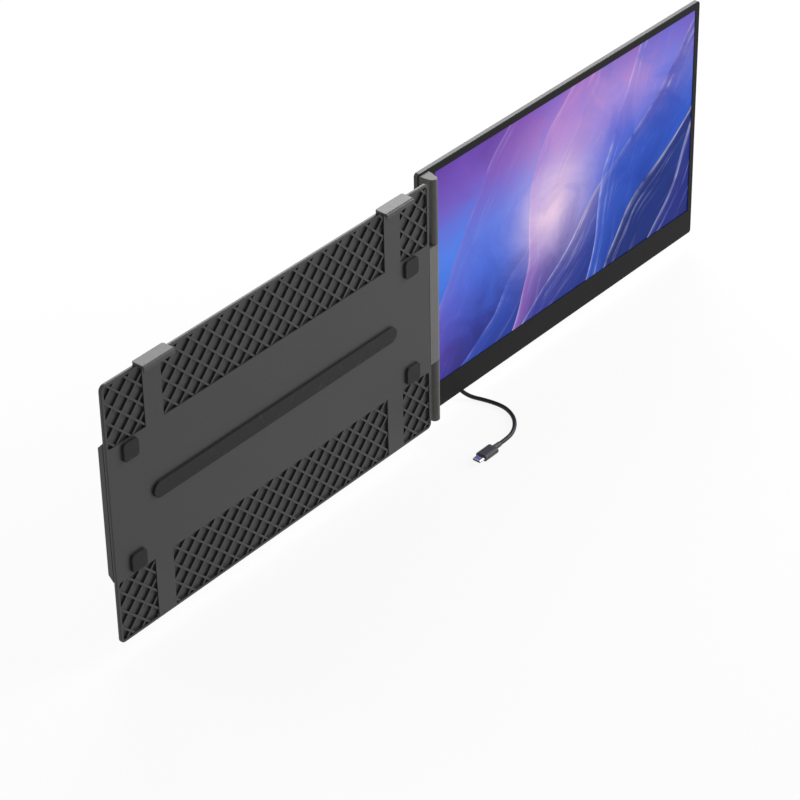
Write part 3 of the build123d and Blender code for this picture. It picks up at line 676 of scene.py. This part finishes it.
plugPlastic = mattRubber("plugPlastic", {
    "dark": (0.06, 0.06, 0.062), "light": (0.11, 0.11, 0.113),
    "roughness": (0.46, 0.64), "stipple": 1900.0, "depth": 0.00003,
})
knucklePaint = satinPaint("knucklePaint", {
    "dark": (0.1, 0.1, 0.094), "light": (0.15, 0.15, 0.14),
    "roughness": (0.4, 0.54), "metal": 0.2, "gloss": 0.4,
})
armPaint = satinPaint("armPaint", {
    "dark": (0.062, 0.06, 0.056), "light": (0.1, 0.098, 0.092),
    "roughness": (0.36, 0.5), "metal": 0.2, "gloss": 0.3,
})
springSteel = drawnMetal("springSteel", {
    "dark": (0.35, 0.35, 0.36), "light": (0.6, 0.6, 0.61),
    "roughness": (0.25, 0.42), "lines": (300.0, 300.0, 3000.0),
})
screwSteel = drawnMetal("screwSteel", {
    "dark": (0.06, 0.06, 0.062), "light": (0.16, 0.16, 0.165),
    "roughness": (0.3, 0.45), "lines": (900.0, 900.0, 900.0),
})
socketSteel = drawnMetal("socketSteel", {
    "dark": (0.5, 0.5, 0.5), "light": (0.72, 0.72, 0.72),
    "roughness": (0.2, 0.34), "lines": (400.0, 400.0, 2500.0),
})
sleeveBronze = drawnMetal("sleeveBronze", {
    "dark": (0.42, 0.25, 0.1), "light": (0.62, 0.42, 0.2),
    "roughness": (0.3, 0.45), "lines": (300.0, 300.0, 2500.0),
})
contactGold = drawnMetal("contactGold", {
    "dark": (0.62, 0.4, 0.12), "light": (0.86, 0.62, 0.26),
    "roughness": (0.2, 0.32), "lines": (2500.0, 400.0, 400.0),
})
sheetAluminium = drawnMetal("sheetAluminium", {
    "dark": (0.16, 0.16, 0.165), "light": (0.26, 0.26, 0.265),
    "roughness": (0.4, 0.55), "lines": (30.0, 900.0, 900.0),
})
boardGreen = circuitBoard("boardGreen", {
    "dark": (0.008, 0.05, 0.022), "light": (0.03, 0.2, 0.07), "roughness": (0.25, 0.45),
    "gloss": 0.5, "turned": 90, "trackScale": 260.0, "trackWidth": 0.06, "trackOffset": 0.37,
    "trackSquash": 1.6, "clothScale": 700.0, "toneShares": (0.7, 0.2), "depth": 0.00004,
    "relief": 0.6,
})
panelPicture = litPanel("panelPicture", {
    "left": 0.2095, "width": 0.3564, "bottom": -0.0913, "height": 0.2005, "shape": 1.78,
    "frontFace": 0.0172, "strength": 1.0, "glass": (0.002, 0.002, 0.003, 1), "gloss": 0.05,
    "roughness": (0.3, 0.42), "grainScale": 2600.0, "unlit": (0.002, 0.002, 0.002),
    "sweep": 54.0, "driftScale": 1.2, "cloudScale": 3.4,
    "groundShares": (0.66, -0.16, 0.3, 0.36),  # up, across, drift and cloud
    "ground": [
        (0.0, (0.001, 0.006, 0.07)), (0.2, (0.004, 0.03, 0.26)), (0.38, (0.02, 0.1, 0.6)),
        (0.56, (0.09, 0.17, 0.72)), (0.72, (0.17, 0.07, 0.46)), (0.92, (0.09, 0.026, 0.3)),
    ],
    "glowCloud": (0.2, 0.68), "glowLeast": 0.5,
    "glows": [
        {"at": (0.44, 0.5), "narrow": (60.0, 22.0), "light": 0.9, "colour": (1.0, 0.7, 0.8)},
        {"at": (0.62, 0.84), "narrow": (12.0, 30.0), "light": 0.6, "colour": (0.7, 0.36, 0.7)},
        {"at": (0.06, 0.56), "narrow": (14.0, 18.0), "light": 0.5, "colour": (0.06, 0.25, 0.85)},
    ],
    "ribbons": [
        {"place": 0.12, "climb": 0.1, "swing": 0.07, "turns": 3.4, "phase": 0.4, "drift": 0.4,
         "fade": 0.16, "light": 0.75, "shine": 0.35, "colour": (0.2, 0.06, 0.42)},
        {"place": -0.1, "climb": -0.12, "swing": 0.09, "turns": 2.6, "phase": 2.6, "drift": 0.35,
         "fade": 0.14, "light": 0.85, "shine": 0.6, "colour": (0.03, 0.08, 0.5)},
        {"place": -0.36, "climb": 0.16, "swing": 0.08, "turns": 3.1, "phase": 4.4, "drift": 0.35,
         "fade": 0.12, "light": 0.85, "shine": 0.9, "colour": (0.34, 0.13, 0.52)},
        {"place": -0.5, "climb": -0.14, "swing": 0.1, "turns": 2.3, "phase": 0.9, "drift": 0.3,
         "fade": 0.2, "light": 0.92, "shine": 1.0, "colour": (0.006, 0.03, 0.3)},
        {"place": -0.86, "climb": 0.18, "swing": 0.08, "turns": 3.6, "phase": 2.9, "drift": 0.3,
         "fade": 0.2, "light": 0.9, "shine": 0.8, "colour": (0.015, 0.09, 0.56)},
        {"place": -0.96, "climb": -0.1, "swing": 0.09, "turns": 2.8, "phase": 5.1, "drift": 0.25,
         "fade": 0.4, "light": 0.97, "shine": 0.9, "colour": (0.002, 0.01, 0.12)},
        {"place": -1.26, "climb": 0.1, "swing": 0.06, "turns": 3.2, "phase": 1.3, "drift": 0.2,
         "fade": 0.5, "light": 0.96, "shine": 0.7, "colour": (0.012, 0.02, 0.22)},
    ],
})

dress((
    "tray_frame", "rear_cover", "channel_cover_left", "channel_cover_right", "kickstand_plate",
), trayPlastic)
dress(("hook_left", "hook_right"), hookPlastic)
dress(("hook_slider_left", "hook_slider_right"), sliderPlastic)
dress((
    "lid_pad_centre", "lid_pad_upper_left", "lid_pad_upper_right", "lid_pad_lower_left",
    "lid_pad_lower_right", "hook_liner_left", "hook_liner_right", "kickstand_foot",
), padRubber)
dress((
    "kickstand_pin_left", "kickstand_pin_right",
    "hinge_shaft_upper", "hinge_shaft_lower", "hinge_leaf_upper", "hinge_leaf_lower",
), springSteel)
dress(("hinge_arm_screws",), screwSteel)
dress(("hinge_knuckle",), knucklePaint)
dress(("hinge_arm_upper", "hinge_arm_lower"), armPaint)
dress(("hinge_sleeve_upper", "hinge_sleeve_lower"), sleeveBronze)
dress(("screen_bezel",), bezelPlastic)
dress(("screen_back_shell", "speaker_left", "speaker_right"), shellPlastic)
dress(("display_panel",), panelPicture)
dress(("backlight_plate",), sheetAluminium)
dress(("driver_board", "control_board"), boardGreen)
dress((
    "usb_c_power_socket", "usb_c_video_socket", "mini_hdmi_socket",
    "screen_plug_shell", "laptop_plug_shell",
), socketSteel)
dress(("power_key", "menu_key", "source_key"), keyPlastic)
dress((
    "screen_plug_body", "laptop_plug_body", "screen_plug_relief", "laptop_plug_relief",
), plugPlastic)
usbLead.data.materials.append(leadSheath)
coverScrews.data.materials.append(screwSteel)
plugContacts.data.materials.append(contactGold)
for spring in hookSprings:
    spring.data.materials.append(springSteel)
print("finishes on")

studio = {
    "floorHeight": -0.1282, "floorSize": 12.0, "floorMiddle": (0.2, 0.5),
    "paper": (0.9, 0.9, 0.9, 1.0), "white": (1, 1, 1, 1), "whiteShare": 0.9,
    "fadeFrom": 0.9, "fadeTo": 2.4, "ambient": 0.27, "middle": (0.19, 0.0, 0.0),
    "softboxes": {
        "backSoftbox": {"from": (0.633, 0.536, 0.6), "off": 2.5, "size": 1.4, "power": 40.0},
        "keySoftbox": {"from": (0.82, -0.42, 0.42), "off": 2.4, "size": 1.4, "power": 54.0},
        "rearSoftbox": {"from": (-0.25, 0.93, 0.2), "off": 2.5, "size": 1.4, "power": 30.0},
    },
}


# 1 for a ray from the camera, or one that a mirror or clear piece sends on
def seenBy(wire):
    rays = wire.node("ShaderNodeLightPath")
    straight = wire.maths("MAXIMUM", rays.other("Is Camera Ray"), rays.other("Is Glossy Ray"))
    return wire.maths("MAXIMUM", straight, rays.other("Is Transmission Ray"))


# pale paper that keeps a shadow near the object and turns plain white further out
def paperFloor():
    material = bpy.data.materials.new("paperFloor")
    material.use_nodes = True
    tree = material.node_tree
    tree.nodes.clear()
    wire = Wire(tree)
    paper = wire.node("ShaderNodeBsdfDiffuse", {}, {"Color": studio["paper"]})
    white = wire.node("ShaderNodeEmission", {}, {"Color": studio["white"], "Strength": 1.0})
    out = wire.node("ShaderNodeVectorMath", {"operation": "LENGTH"}, {
        "Vector": objectCoords(wire),
    }, "Value")
    faded = stepped(wire, out, studio["fadeFrom"], studio["fadeTo"])
    whiter = spread(faded, studio["whiteShare"], 1.0)
    both = wire.node("ShaderNodeMixShader", {}, {0: seenBy(wire) * whiter, 1: paper, 2: white})
    floorOut = tree.nodes.new("ShaderNodeOutputMaterial")
    wire.feed(floorOut.inputs["Surface"], both)
    return material


bpy.ops.mesh.primitive_plane_add(
    size=studio["floorSize"], location=(*studio["floorMiddle"], studio["floorHeight"]))
floor = bpy.context.object
floor.name = "floor"
applyPlace(floor)
floor.data.materials.append(paperFloor())

world = bpy.data.worlds.new("studioWorld")
world.use_nodes = True
bpy.context.scene.world = world
world.node_tree.nodes.clear()
sky = Wire(world.node_tree)
skyStrength = spread(seenBy(sky), studio["ambient"], 1.0)
skyLight = sky.node("ShaderNodeBackground", {}, {
    "Color": studio["white"], "Strength": skyStrength,
})
skyOut = sky.tree.nodes.new("ShaderNodeOutputWorld")
sky.feed(skyOut.inputs["Surface"], skyLight)


# a square softbox that stands off the object's middle and faces it
def softbox(name, look):
    data = bpy.data.lights.new(name, "AREA")
    data.shape = "SQUARE"
    data.size = look["size"]
    data.energy = look["power"]
    light = bpy.data.objects.new(name, data)
    bpy.context.scene.collection.objects.link(light)
    middle = Vector(studio["middle"])
    place = middle + Vector(look["from"]).normalized() * look["off"]
    aim = (middle - place).to_track_quat("-Z", "Y")
    light.matrix_world = Matrix.Translation(place) @ aim.to_matrix().to_4x4()


for name, look in studio["softboxes"].items():
    softbox(name, look)
bpy.context.scene.view_settings.view_transform = "Standard"
print("studio lit")
